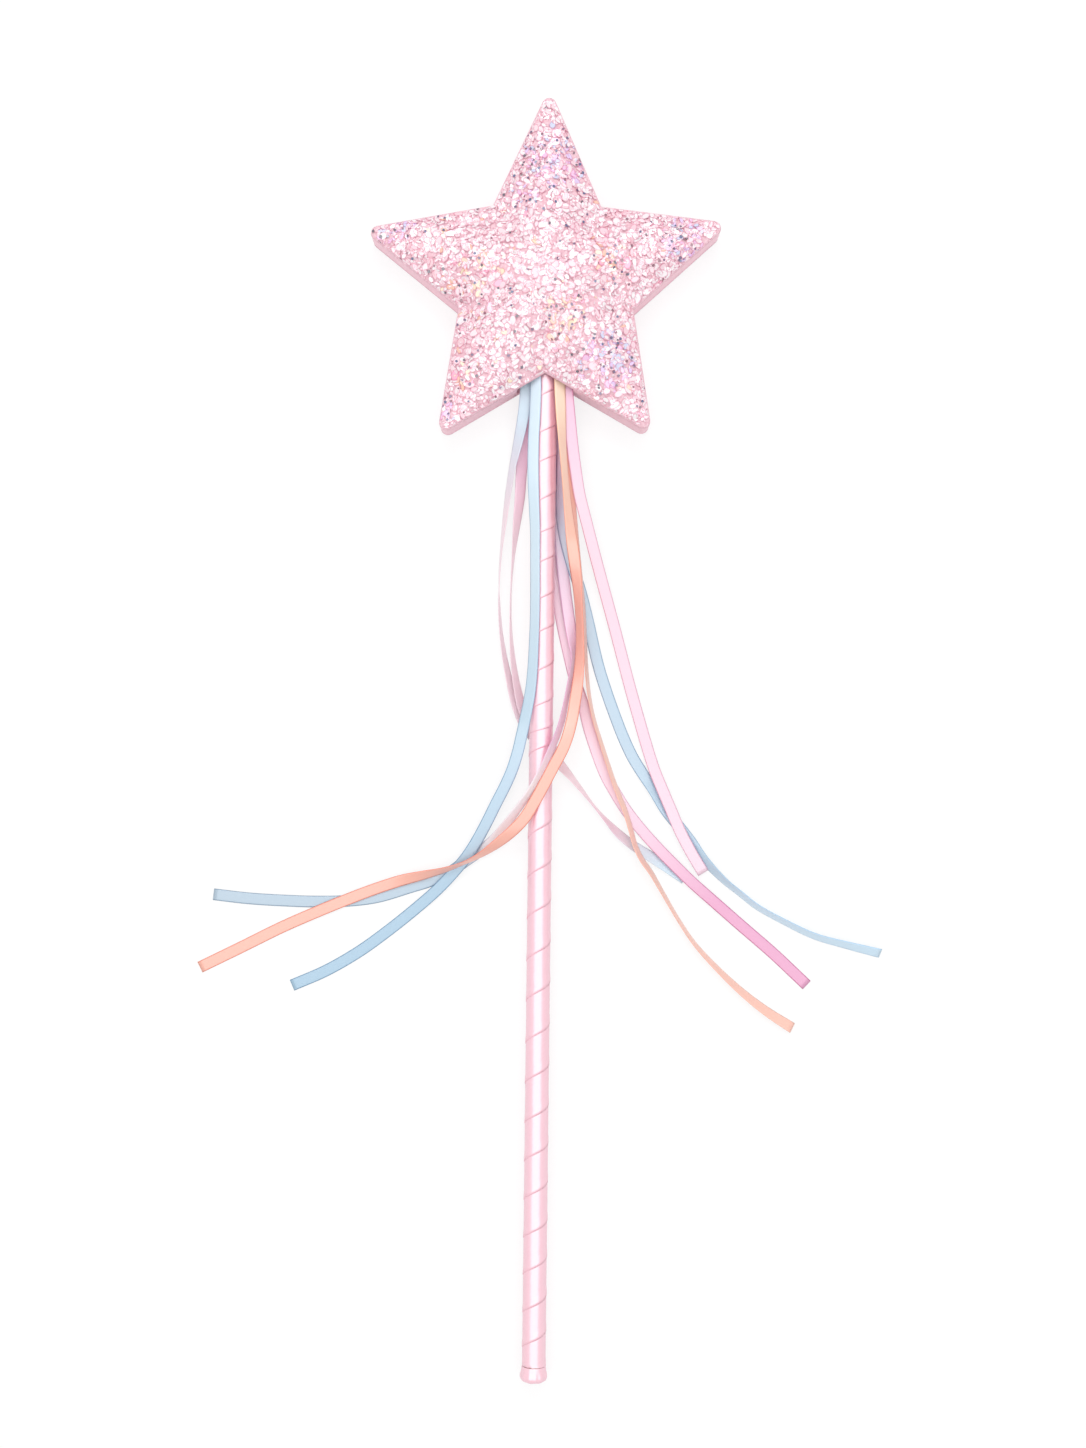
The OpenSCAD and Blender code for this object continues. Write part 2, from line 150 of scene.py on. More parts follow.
# Dowel
# A bare birch stick, hidden under the wrap and glued into the star.
# Its CAD solid stays; the grain runs along the stick.
wood_dark = (0.5, 0.34, 0.19, 1)
wood_light = (0.72, 0.55, 0.36, 1)


def new_material(name):
    """A material with its node list, its links and its main shader."""
    material = bpy.data.materials.new(name)
    material.use_nodes = True
    tree = material.node_tree
    return material, tree.nodes, tree.links, tree.nodes["Principled BSDF"]


def object_pattern(nodes, links, kind, scale, stretch=(1, 1, 1)):
    """A texture on the piece's own coordinates, in features a metre along each axis."""
    place = nodes.new("ShaderNodeTexCoord")
    mapping = nodes.new("ShaderNodeMapping")
    mapping.inputs["Scale"].default_value = stretch
    texture = nodes.new(kind)
    texture.inputs["Scale"].default_value = scale
    links.new(place.outputs["Object"], mapping.inputs["Vector"])
    links.new(mapping.outputs["Vector"], texture.inputs["Vector"])
    return texture


def two_colours(nodes, links, value, low, high, start=0.0, end=1.0):
    """A ramp between two colours over a value."""
    ramp = nodes.new("ShaderNodeValToRGB")
    ramp.color_ramp.elements[0].position = start
    ramp.color_ramp.elements[0].color = low
    ramp.color_ramp.elements[1].position = end
    ramp.color_ramp.elements[1].color = high
    links.new(value, ramp.inputs["Fac"])
    return ramp.outputs["Color"]


def bump(nodes, links, height, shader, strength, distance):
    """Relief on the shader's normal."""
    relief = nodes.new("ShaderNodeBump")
    relief.inputs["Strength"].default_value = strength
    relief.inputs["Distance"].default_value = distance
    links.new(height, relief.inputs["Height"])
    links.new(relief.outputs["Normal"], shader.inputs["Normal"])


def dress(node, material):
    """Gives a CAD solid that stays its own material."""
    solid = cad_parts[node]
    solid.data.materials.clear()
    solid.data.materials.append(material)


birch, nodes, links, shader = new_material("birch")
grain = object_pattern(nodes, links, "ShaderNodeTexNoise", 900, (1, 0.04, 1))
stripes = two_colours(nodes, links, grain.outputs["Fac"], wood_dark, wood_light, 0.3, 0.7)
links.new(stripes, shader.inputs["Base Color"])
bump(nodes, links, grain.outputs["Fac"], shader, 0.4, 0.1 * mm)
shader.inputs["Roughness"].default_value = 0.65
dress("stick_dowel", birch)

# Stick wrap
# One length of pink satin ribbon, wound up the stick from its end. Each turn's lower edge lies
# on the turn before, so the seams climb to the right and show a raised lip.
stick_z = 5.3 * mm
wrap_low = -170.4 * mm
wrap_top = 101.8 * mm
wrap_turn = 10 * mm
wrap_width = 11 * mm
wrap_radius = 3.1 * mm
wrap_lip = 0.12 * mm
wrap_thick = 0.12 * mm
wrap_wrinkle = 0.025 * mm
wrap_steps = 40
turn_run = 21
wrap_seams = (
    -183, -173, -163, -153.5, -143, -133, -122.5, -112, -101.5, -90.5, -79.5, -68, -57, -45.5, -34.5, -23.5,
    -12, -1.5, 3.5, 10.5, 20, 30.5, 39.5, 49.5, 57.5, 66.5, 77, 85, 95, 105, 115, 125,
)
wrap_pink = (0.95, 0.5, 0.61)
wrap_shine = 2.6
dye_and_shade_reach = 240


def satin_group():
    """Satin ribbon: fine threads along it, faint ribs across it, and a firm darker edge line."""
    group = bpy.data.node_groups.new("satin_weave", "ShaderNodeTree")
    sockets = group.interface
    sockets.new_socket("Along", in_out="INPUT", socket_type="NodeSocketFloat")
    sockets.new_socket("Across", in_out="INPUT", socket_type="NodeSocketFloat")
    sockets.new_socket("Dye And Shade", in_out="INPUT", socket_type="NodeSocketColor")
    sockets.new_socket("Edge Depth", in_out="INPUT", socket_type="NodeSocketFloat")
    sockets.new_socket("Colour", in_out="OUTPUT", socket_type="NodeSocketColor")
    sockets.new_socket("Height", in_out="OUTPUT", socket_type="NodeSocketFloat")
    nodes, links = group.nodes, group.links
    given = nodes.new("NodeGroupInput")
    result = nodes.new("NodeGroupOutput")
    join = nodes.new("ShaderNodeCombineXYZ")
    links.new(given.outputs["Along"], join.inputs["X"])
    links.new(given.outputs["Across"], join.inputs["Y"])
    stretch = nodes.new("ShaderNodeMapping")
    stretch.inputs["Scale"].default_value = (0.12, 3, 1)
    links.new(join.outputs[0], stretch.inputs["Vector"])
    threads = nodes.new("ShaderNodeTexNoise")
    threads.inputs["Scale"].default_value = 6
    threads.inputs["Detail"].default_value = 3
    links.new(stretch.outputs[0], threads.inputs["Vector"])
    ribs = nodes.new("ShaderNodeTexWave")
    ribs.bands_direction = "X"
    ribs.inputs["Scale"].default_value = 1.1
    ribs.inputs["Distortion"].default_value = 0.6
    ribs.inputs["Detail"].default_value = 1
    links.new(join.outputs[0], ribs.inputs["Vector"])
    middle = calc(nodes, links, "SUBTRACT", given.outputs["Across"], 0.5)
    outward = calc(nodes, links, "ABSOLUTE", middle)
    edge = remap(nodes, links, outward, 0.4, 0.47, kind="SMOOTHSTEP")
    depth = calc(nodes, links, "MULTIPLY", edge, given.outputs["Edge Depth"])
    uneven = remap(nodes, links, threads.outputs["Fac"], 0.3, 0.7, 0.14, 0)
    loss = calc(nodes, links, "ADD", depth, uneven)
    deeper = nodes.new("ShaderNodeMix")
    deeper.data_type = "RGBA"
    deeper.blend_type = "MULTIPLY"
    links.new(loss, deeper.inputs["Factor"])
    links.new(given.outputs["Dye And Shade"], deeper.inputs["A"])
    links.new(given.outputs["Dye And Shade"], deeper.inputs["B"])
    links.new(deeper.outputs["Result"], result.inputs["Colour"])
    relief = calc(nodes, links, "MULTIPLY_ADD", ribs.outputs["Fac"], 0.4, threads.outputs["Fac"])
    links.new(relief, result.inputs["Height"])
    return group


satin_weave = satin_group()


def satin(name, tones, edge_depth, shine):
    """Satin on the piece's own UV map, millimetres along and 0 to 1 across, coloured by millimetre from its
    tones: the dye, and on the streamers also painted shade, painted reflection and painted highlight.
    """
    material, nodes, links, shader = new_material(name)
    place = nodes.new("ShaderNodeUVMap")
    place.uv_map = "ribbon"
    split = nodes.new("ShaderNodeSeparateXYZ")
    links.new(place.outputs["UV"], split.inputs[0])
    weave = nodes.new("ShaderNodeGroup")
    weave.node_tree = satin_weave
    weave.inputs["Edge Depth"].default_value = edge_depth
    # The ramp's stops hold the ribbon's dye and, on the streamers, painted shade, painted reflection and
    # painted highlight along its length.
    dye_and_shade = nodes.new("ShaderNodeValToRGB")
    stops = dye_and_shade.color_ramp.elements
    for i, (along, colour) in enumerate(tones):
        stop = stops[i] if i < 2 else stops.new(along / dye_and_shade_reach)
        stop.position = along / dye_and_shade_reach
        stop.color = (*colour, 1)
    if len(tones) == 1:
        stops[1].color = (*tones[0][1], 1)
    links.new(calc(nodes, links, "DIVIDE", split.outputs["X"], dye_and_shade_reach), dye_and_shade.inputs["Fac"])
    links.new(dye_and_shade.outputs["Color"], weave.inputs["Dye And Shade"])
    links.new(split.outputs["X"], weave.inputs["Along"])
    links.new(split.outputs["Y"], weave.inputs["Across"])
    links.new(weave.outputs["Colour"], shader.inputs["Base Color"])
    bump(nodes, links, weave.outputs["Height"], shader, 0.2, 0.03 * mm)
    shader.inputs["Roughness"].default_value = 0.3
    shader.inputs["IOR"].default_value = shine
    shader.inputs["Specular IOR Level"].default_value = 0.8
    shader.inputs["Sheen Weight"].default_value = 0.15
    shader.inputs["Sheen Roughness"].default_value = 0.4
    return material


def only(obj):
    """Makes one object the selected and active one."""
    bpy.ops.object.select_all(action="DESELECT")
    obj.select_set(True)
    bpy.context.view_layer.objects.active = obj


def apply_modifiers(obj):
    """Applies all the object's modifiers, in order."""
    only(obj)
    for modifier in list(obj.modifiers):
        bpy.ops.object.modifier_apply(modifier=modifier.name)


bpy.ops.object.select_all(action="DESELECT")
bpy.ops.mesh.primitive_plane_add(size=wrap_width)
wrap = bpy.context.object
wrap.name = "satin_stick_wrap"
bpy.ops.object.mode_set(mode="EDIT")
bpy.ops.mesh.select_all(action="DESELECT")
bpy.ops.object.mode_set(mode="OBJECT")
for v in wrap.data.vertices:
    v.select = v.co.x > 0
bpy.ops.object.mode_set(mode="EDIT")
bpy.ops.mesh.delete(type="VERT")
bpy.ops.mesh.select_all(action="SELECT")
bpy.ops.mesh.subdivide(number_cuts=13)
bpy.ops.object.mode_set(mode="OBJECT")
across = [v.co.y / wrap_width + 0.5 for v in wrap.data.vertices]
for v, share in zip(wrap.data.vertices, across):
    fall = min(1, max(0, (share - 0.1) / 0.12))
    fall = fall * fall * (3 - 2 * fall)
    v.co = (0, -(wrap_radius + wrap_lip * (1 - fall)), share * wrap_width)
winding = wrap.modifiers.new("winding", "SCREW")
winding.axis = "Z"
winding.angle = math.tau
winding.screw_offset = wrap_turn
winding.iterations = len(wrap_seams) - 2
winding.steps = wrap_steps
winding.render_steps = wrap_steps
winding.use_smooth_shade = True
apply_modifiers(wrap)


def seam_height(turns):
    """Where a share of turns lies along the stick, on a smooth line through the hand-wound seams."""
    i = min(max(int(turns), 1), len(wrap_seams) - 3)
    t = turns - i
    a, b, c, d = wrap_seams[i - 1 : i + 3]
    slope = (c - a) / 2
    next_slope = (d - b) / 2
    bend = 3 * (c - b) - 2 * slope - next_slope
    ease = 2 * (b - c) + slope + next_slope
    return (b + slope * t + bend * t**2 + ease * t**3) * mm


uv = wrap.data.uv_layers.new(name="ribbon")
for loop in wrap.data.loops:
    step, row = divmod(loop.vertex_index, len(across))
    uv.data[loop.index].uv = (step / wrap_steps * turn_run, across[row])
for v in wrap.data.vertices:
    wrinkle = noise.noise(Vector((v.co.x * 420, v.co.y * 420, v.co.z * 160)))
    lift = 1 + wrap_wrinkle * wrinkle / math.hypot(v.co.x, v.co.y)
    v.co = (v.co.x * lift, v.co.y * lift, seam_height(v.co.z / wrap_turn))
only(wrap)
bpy.ops.object.mode_set(mode="EDIT")
bpy.ops.mesh.select_all(action="SELECT")
bpy.ops.mesh.normals_make_consistent(inside=False)
bpy.ops.object.mode_set(mode="OBJECT")
middle_face = wrap.data.polygons[len(wrap.data.polygons) // 2]
if middle_face.normal.dot(Vector((middle_face.center.x, middle_face.center.y, 0))) < 0:
    wrap.data.flip_normals()
thick = wrap.modifiers.new("thickness", "SOLIDIFY")
thick.thickness = wrap_thick
thick.offset = 1
apply_modifiers(wrap)
wrap.data.transform(Matrix.Translation((0, 0, stick_z)) @ Matrix.Rotation(-math.pi / 2, 4, "X"))
only(wrap)
for cut, outward in ((wrap_low, -1), (wrap_top, 1)):
    bpy.ops.object.mode_set(mode="EDIT")
    bpy.ops.mesh.select_all(action="SELECT")
    bpy.ops.mesh.bisect(
        plane_co=(0, cut, stick_z), plane_no=(0, outward, 0), clear_outer=True, use_fill=True
    )
    bpy.ops.object.mode_set(mode="OBJECT")
wrap.data.materials.append(satin("pink_wrap_satin", [(0, wrap_pink)], 0.25, wrap_shine))
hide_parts("stick_wrap")
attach(wrap, "root")

# End fold
# The last of the wrap ribbon, gathered over the stick's end and glued flat.
# Its edge stands out a little all round, with soft pleats.
fold_pleats = 11
fold_radius = 3.7
fold_middle = 173 * mm
fold_rows = (
    (-174.18, 0.0), (-174.18, 2.2), (-174.16, 3.04), (-172.6, 3.06), (-170.5, 3.06), (-170.46, 3.22),
    (-170.7, 3.34), (-171.5, 3.4), (-172.1, 3.5), (-172.6, 3.68), (-173.1, 3.76), (-173.6, 3.74),
    (-174.1, 3.58), (-174.5, 3.25), (-174.8, 2.7), (-174.95, 1.9), (-174.9, 1.0), (-174.86, 0.0),
)
bpy.ops.object.select_all(action="DESELECT")
bpy.ops.mesh.primitive_circle_add(vertices=66, radius=1, fill_type="NOTHING")
fold = bpy.context.object
fold.name = "satin_end_fold"
bpy.ops.object.mode_set(mode="EDIT")
for row in fold_rows[1:]:
    bpy.ops.mesh.extrude_edges_move(TRANSFORM_OT_translate={"value": (0, 0, 1)})
bpy.ops.object.mode_set(mode="OBJECT")
for v in fold.data.vertices:
    y, r = fold_rows[round(v.co.z)]
    turn = math.atan2(v.co.y, v.co.x)
    pleat = math.sin(fold_pleats * turn + 1.4 * math.sin(2 * turn)) * max(0, min(1, (r - 3.3) / 0.3))
    ends = math.sin(7 * turn + 0.6) if y < -174.4 and round(v.co.z) > 9 else 0
    r = r + 0.07 * pleat
    v.co = (r * mm * math.sin(turn), (y + 0.06 * ends) * mm, stick_z + r * mm * math.cos(turn))
only(fold)
bpy.ops.object.mode_set(mode="EDIT")
bpy.ops.mesh.select_all(action="SELECT")
bpy.ops.mesh.remove_doubles(threshold=0.001 * mm)
bpy.ops.mesh.normals_make_consistent(inside=False)
bpy.ops.object.mode_set(mode="OBJECT")
rounding = fold.modifiers.new("rounding", "SUBSURF")
rounding.levels = 1
rounding.render_levels = 1
apply_modifiers(fold)
bpy.ops.object.shade_smooth()
uv = fold.data.uv_layers.new(name="ribbon")
for loop in fold.data.loops:
    co = fold.data.vertices[loop.vertex_index].co
    turn = math.atan2(co.x, co.z - stick_z)
    uv.data[loop.index].uv = (turn * fold_radius, 0.5 + 30 * (co.y + fold_middle))
fold.data.materials.append(satin("pink_fold_satin", [(0, wrap_pink)], 0, wrap_shine))
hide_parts("stick_end_fold")
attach(fold, "root")

# Streamers
# Narrow satin ribbons, all cut square and glued into the star's mouth beside the stick. They are
# limp, lie on the table, on the stick and on each other, and twist where they turn.
ribbon_wide = 3.2 * mm
ribbon_thick = 0.2 * mm
ribbon_cup = 0.03 * mm
ribbon_rest = 0.03 * mm
streamers = {
    "blue_left": [
        (-5.4, 107, 6.5, 0), (-5.2, 98, 6.4, 0), (-5.8, 90, 5.6, -10), (-7.2, 82.5, 4.6, -35),
        (-8.8, 75, 3.7, -55), (-9.9, 67.5, 3, -60), (-10.8, 60, 2.4, -68), (-11.6, 52.5, 2, -78),
        (-12, 45, 1.8, -84), (-11.9, 37.5, 1.8, -98), (-11.3, 30, 1.8, -105), (-10.2, 23, 1.7, -114),
        (-8.9, 17, 1.6, -124), (-7.4, 11.5, 1.3, -138), (-5.4, 6.5, 0.9, -154), (-2.9, 2.6, 0.5, -170),
        (0, -0.4, 0.3, -180), (2.8, -3.3, 0.5, -170), (5.6, -6.3, 1.1, -144), (8.6, -9.7, 1.6, -122),
        (12, -13.8, 1.8, -108), (15.2, -17.8, 1.8, -100), (18.2, -21.2, 1.7, -110), (21.6, -24.8, 1.4, -132),
        (25.6, -28, 1.1, -144), (30.4, -31, 1, -152), (35.6, -34.2, 0.7, -164), (40.2, -37.2, 0.4, -175),
    ],
    "pink_left": [
        (-5.4, 107, 4.5, 0), (-5.2, 98, 4.5, 0), (-5.2, 90, 3.7, 0), (-5.4, 82.5, 3, 5),
        (-6.2, 75, 2.5, 18), (-6.6, 67.5, 2.2, 32), (-7.4, 60, 2, 52), (-8.1, 52.5, 1.9, 74),
        (-8.6, 45, 1.8, 84), (-8.8, 37.5, 1.8, 84), (-8.6, 30, 1.8, 78), (-8, 23, 1.9, 66),
        (-7.1, 17, 1.9, 56), (-5.9, 11.5, 1.8, 42), (-4, 6.5, 1.4, 26), (-1.6, 2.8, 1.1, 10),
        (1.2, 0, 0.9, 0), (3.2, -2, 1, 6), (5.2, -4.2, 1.3, 18),
    ],
    "blue_front": [
        (-3.4, 107, 8.6, -20), (-2.6, 98, 8.6, -20), (-2.7, 90, 8.4, -20), (-3, 82, 8.2, -20),
        (-3, 74, 8.2, -20), (-2.7, 66, 8.4, -28), (-2.3, 58, 8.5, -36), (-2.2, 50, 8.5, -38),
        (-2.1, 42, 8.5, -38), (-2.1, 34, 8.5, -38), (-2.3, 26, 8.5, -36), (-2.6, 19, 8.3, -32),
        (-3.2, 13, 7.9, -26), (-4.2, 7.5, 7.3, -22), (-5.2, 2.5, 6.3, -10), (-6.3, -2.5, 5.4, -4),
        (-7.8, -7.5, 4.7, 0), (-9.8, -12.2, 4.1, 0), (-12.2, -17, 3.6, 0), (-14.6, -22, 3.2, 0),
        (-17.2, -27, 2.9, 0), (-20, -31.5, 2.5, 0), (-23.6, -36, 1.8, 0), (-28, -40.8, 1.1, 0),
        (-33.5, -45.8, 0.5, 0), (-41, -52, 0.2, 0), (-49.5, -58.3, 0.2, 0), (-58.6, -63.7, 0.2, 0),
        (-68, -67.9, 0.2, 0),
    ],
    "coral_front": [
        (3.9, 107, 8.6, 10), (4, 98, 8.4, 20), (4.4, 90, 8.4, 30), (4.9, 82, 8.5, 48),
        (5.6, 74, 8.3, 54), (6.4, 66, 7.8, 48), (7.4, 58, 7.2, 28), (8.4, 51, 6.8, -5),
        (9.3, 44, 6.5, -36), (9.9, 37, 6.2, -50), (10.3, 30, 5.9, -50), (10.3, 23, 5.7, -40),
        (9.9, 17, 5.8, -20), (9.2, 11.5, 6.2, 0), (8.4, 6.5, 7.3, 0), (7.3, 2, 8.5, 0),
        (5.8, -2, 9.3, 0), (3.9, -5.6, 9.7, 0), (2, -9.3, 9.8, 0), (0, -13.2, 9.8, 0),
        (-2.2, -17.2, 9.6, 0), (-4.6, -21, 9.1, 0), (-8, -24.6, 8.2, 15), (-11.8, -27.8, 6.9, 35),
        (-16, -30.8, 5.5, 58), (-20.8, -33.3, 4.4, 70), (-26.5, -35.4, 3.5, 58), (-32.5, -37, 2.3, 35),
        (-38.5, -38.6, 1.3, 15), (-46, -41.2, 0.8, 5), (-53.6, -44.2, 0.8, 0), (-62.5, -48, 0.6, 0),
        (-71.5, -52.1, 0.3, 0), (-82.5, -57.7, 0.2, 0), (-93.5, -63.2, 0.2, 0),
    ],
    "coral_thin": [
        (5.4, 107, 6.3, 0), (5.6, 98, 6.2, 0), (6.2, 90, 5.9, 15), (6.8, 82, 5.5, 30),
        (7.3, 74, 5.1, 45), (7.9, 66, 4.8, 55), (8.8, 58, 4.5, 62), (9.8, 50, 4.2, 68),
        (10.7, 43, 3.9, 72), (11.4, 36, 3.4, 72), (11.8, 29, 2.8, 72), (12.2, 22, 2.4, 72),
        (13, 14, 2.3, 72), (14.4, 7, 2.3, 72), (16.6, 0, 2.3, 70), (18.8, -6.6, 2.4, 68),
        (20.3, -11, 2.6, 66), (21.9, -15, 3, 64), (23.5, -19, 3.5, 64), (24.9, -23.5, 3.9, 64),
        (26.2, -28, 4.1, 64), (28.2, -32, 3.8, 64), (30.8, -35.6, 3.1, 66), (34.6, -42, 2.1, 70),
        (38.5, -48.5, 1.7, 72), (43, -55, 1.7, 70), (49, -61.5, 1.6, 64), (56, -68, 1.5, 54),
        (63, -73.4, 1.3, 42), (70.3, -78, 1, 28),
    ],
    "pink_right": [
        (5.6, 107, 7.4, 0), (5.9, 98, 7.3, 0), (6.7, 90, 7, 0), (7.6, 82, 6.5, 0),
        (8.6, 75, 6, 0), (9.8, 68, 5.4, 0), (11.4, 62, 4.7, 0), (13.3, 55, 3.9, 0),
        (15.4, 47.5, 3.1, 0), (17.7, 39.5, 2.3, 0), (20, 31.5, 1.6, 0), (22.2, 23.5, 1.1, 0),
        (24.4, 15.5, 0.8, 0), (26.6, 8, 0.8, 0), (29, 0, 0.9, 0), (31.3, -7, 1.2, 0),
        (33.8, -13, 1.7, 0), (36.2, -18.5, 1.8, 0), (38.6, -24, 1.8, 0), (41.7, -29.8, 1.7, 0),
        (45.2, -35.5, 1.2, 0),
    ],
    "blue_right": [
        (5.4, 107, 5.2, 0), (5.4, 98, 5.1, 0), (5.2, 90, 4.9, -5), (5, 82, 4.6, -15),
        (4.9, 74, 4.2, -25), (4.8, 66, 3.9, -25), (5.5, 58.7, 3.4, -15), (6.8, 53, 2.9, -10),
        (8.5, 47.5, 2.3, -5), (10.2, 42.5, 1.6, 0), (11.6, 37.5, 1.1, 0), (13, 32, 0.7, 0),
        (14.4, 26, 0.4, 0), (16, 20, 0.3, 0), (18, 14, 0.2, 0), (20.2, 8, 0.2, 0),
        (22.6, 2, 0.2, 0), (25.2, -3.5, 0.2, 0), (28, -8, 0.4, 8), (31, -12.5, 0.8, 22),
        (34.2, -17.6, 0.6, 14), (36.2, -20.2, 0.3, 0), (38.4, -22.8, 0.4, -8), (41.6, -26.8, 0.6, -15),
        (45, -31.4, 1.2, -38), (50.6, -37.2, 1.6, -56), (55.4, -41, 1.6, -60), (60.4, -44.8, 1.6, -60),
        (67.9, -48.8, 1.6, -58), (76.3, -52.6, 1.5, -54), (85.4, -55, 1.4, -46), (94.3, -57.1, 1.2, -36),
    ],
    "pink_under": [
        (5.4, 107, 3, 0), (5.2, 98, 2.8, 0), (4.8, 90, 2, 0), (4.4, 82, 1.2, 0),
        (4, 74, 0.6, 0), (3.6, 66, 0.3, 0), (3.2, 58, 0.3, 0), (3.3, 50, 0.3, 0),
        (3.9, 42, 0.3, 0), (5.2, 34, 0.3, 0), (7, 26, 0.3, 0), (9, 18, 0.3, 0),
        (11.4, 11, 0.3, 0), (13.2, 4, 0.3, 0), (15.4, -2.5, 0.3, 0), (17.8, -8.5, 0.3, 0),
        (20.6, -13.5, 0.3, 0), (24, -18.8, 0.5, 0), (28, -23.8, 1, 0), (32.4, -28.6, 1.6, 0),
        (37, -33.2, 1.8, 0), (42, -38, 1.5, 0), (48, -43.2, 0.9, 0), (55.8, -49.9, 0.4, 0),
        (65, -57.7, 0.2, 0), (74.2, -66.2, 0.2, 0),
    ],
    "blue_over": [
        (5.4, 107, 4.1, 0), (5.4, 98, 4, 0), (5.2, 90, 3.6, 0), (5, 82, 3.2, 0),
        (4.8, 74, 2.8, 0), (4.6, 66, 2.4, 0), (4.6, 58, 2.1, 0), (5.2, 50, 1.8, 0),
        (6.2, 42, 1.6, 5), (7.4, 34, 1.7, 12), (8.4, 28, 2.1, 36), (8.7, 24, 2.6, 62),
        (8.3, 20, 3.1, 66), (7.6, 16, 3.8, 66), (6.8, 11.5, 4.7, 65), (5.8, 6.5, 6, 60),
        (4.4, 2, 7.6, 58), (2.6, -2.2, 9.6, 56), (0.9, -6.2, 10.3, 56), (-1.1, -10.2, 10.3, 56),
        (-3.2, -13.9, 9.8, 54), (-5.6, -17.4, 8.7, 50), (-8, -20.8, 7.2, 42), (-10.1, -24, 5.1, 18),
        (-12.6, -27, 3, 0), (-16.3, -30, 1.5, 0), (-20.6, -33.1, 0.8, 0), (-25.2, -36.4, 0.5, 0),
        (-30, -38.6, 0.3, 0), (-35.5, -40.4, 0.2, 0), (-44.5, -43.2, 0.2, 0), (-53, -44.4, 0.2, 0),
        (-62, -44.7, 0.2, 0), (-71, -44.5, 0.2, 0), (-80.5, -44, 0.2, 0), (-90, -43, 0.2, 0),
    ],
}
# Pale blue is the blue satin with a painted highlight, where a ribbon catches the overhead light.
blue_with_painted_highlight = (0.66, 0.8, 0.9)
sky_blue = (0.35, 0.53, 0.68)
# Painted shade and painted reflection on the blue ribbons: lilac where they lie in the coral ribbon's shade,
# mauve where they turn on edge and take up the pink of the stick and star, grey mist where a twisted length
# turns from the light.
blue_in_painted_shade = (0.78, 0.67, 0.82)
blue_with_painted_pink_reflection = (0.9, 0.62, 0.78)
blue_in_painted_grey_shade = (0.76, 0.76, 0.84)
# Blush is the right pink ribbon's colour; on the left blue ribbon it is painted reflection of the pink stick
# and star.
blush_pink_and_painted_reflection = (0.9, 0.63, 0.74)
rose = (0.86, 0.5, 0.68)
soft_pink = (0.9, 0.66, 0.77)
# Peach is the coral ribbon painted paler near its root, a painted highlight that also lifts it out of the
# star's shade.
coral_with_painted_highlight = (1, 0.76, 0.58)
coral = (0.93, 0.46, 0.36)
thin_peach = (1, 0.61, 0.51)
day_blue = (0.46, 0.61, 0.74)
end_blue = (0.62, 0.8, 0.94)
deep_rose = (0.77, 0.34, 0.55)
dusk_blue = (0.43, 0.55, 0.66)
# Veil is the left pink ribbon's pale pink; on the left blue ribbon it is painted reflection of the pink
# stick and star.
pale_pink_and_painted_reflection = (0.95, 0.77, 0.83)
# Haze is a painted highlight: the blue ribbon painted near white where it crosses over the stick in the
# light.
painted_highlight_haze = (1, 0.92, 0.95)
fresh_pink = (0.97, 0.62, 0.79)
edge_on = ("blue_left", "pink_left", "coral_thin")
# Tones by millimetre along each streamer. Besides each ribbon's colour they hold painted shade, painted
# reflection and painted highlight, as noted at the tones above.
streamer_looks = {
    "blue_left": (
        "blue_satin",
        [(18, blue_with_painted_highlight), (45, pale_pink_and_painted_reflection), (125, pale_pink_and_painted_reflection), (138, blush_pink_and_painted_reflection), (150, blue_in_painted_grey_shade), (160, blue_with_painted_highlight)],
    ),
    "pink_left": ("pale_pink_satin", [(20, fresh_pink), (50, pale_pink_and_painted_reflection), (105, pale_pink_and_painted_reflection)]),
    "blue_front": ("blue_satin", [(60, blue_with_painted_highlight), (150, sky_blue)]),
    "coral_front": ("coral_satin", [(15, coral_with_painted_highlight), (60, coral)]),
    "coral_thin": ("coral_satin", [(40, coral), (110, thin_peach)]),
    "pink_right": ("pale_pink_satin", [(10, rose), (40, blush_pink_and_painted_reflection), (120, blush_pink_and_painted_reflection), (149, soft_pink)]),
    "blue_right": ("blue_satin", [(30, blue_in_painted_shade), (60, day_blue), (145, day_blue), (165, end_blue)]),
    "pink_under": ("pink_satin", [(50, soft_pink), (125, soft_pink), (165, deep_rose)]),
    "blue_over": (
        "blue_satin",
        [(50, blue_in_painted_shade), (80, blue_with_painted_pink_reflection), (108, blue_with_painted_pink_reflection), (122, painted_highlight_haze), (140, painted_highlight_haze), (157, dusk_blue)],
    ),
}


def smooth_route(route, step):
    """Points and rolls along a smooth curve through the route's own points, a step apart at most."""
    rows = [Vector(row) for row in route]
    rows = [2 * rows[0] - rows[1]] + rows + [2 * rows[-1] - rows[-2]]
    line = []
    for a, b, c, d in zip(rows, rows[1:], rows[2:], rows[3:]):
        count = max(2, math.ceil((c.xyz - b.xyz).length / step))
        for i in range(count):
            t = i / count
            bend = 2 * a - 5 * b + 4 * c - d
            ease = 3 * b - a - 3 * c + d
            line.append(0.5 * ((2 * b) + (c - a) * t + bend * t**2 + ease * t**3))
    line.append(rows[-2])
    return line


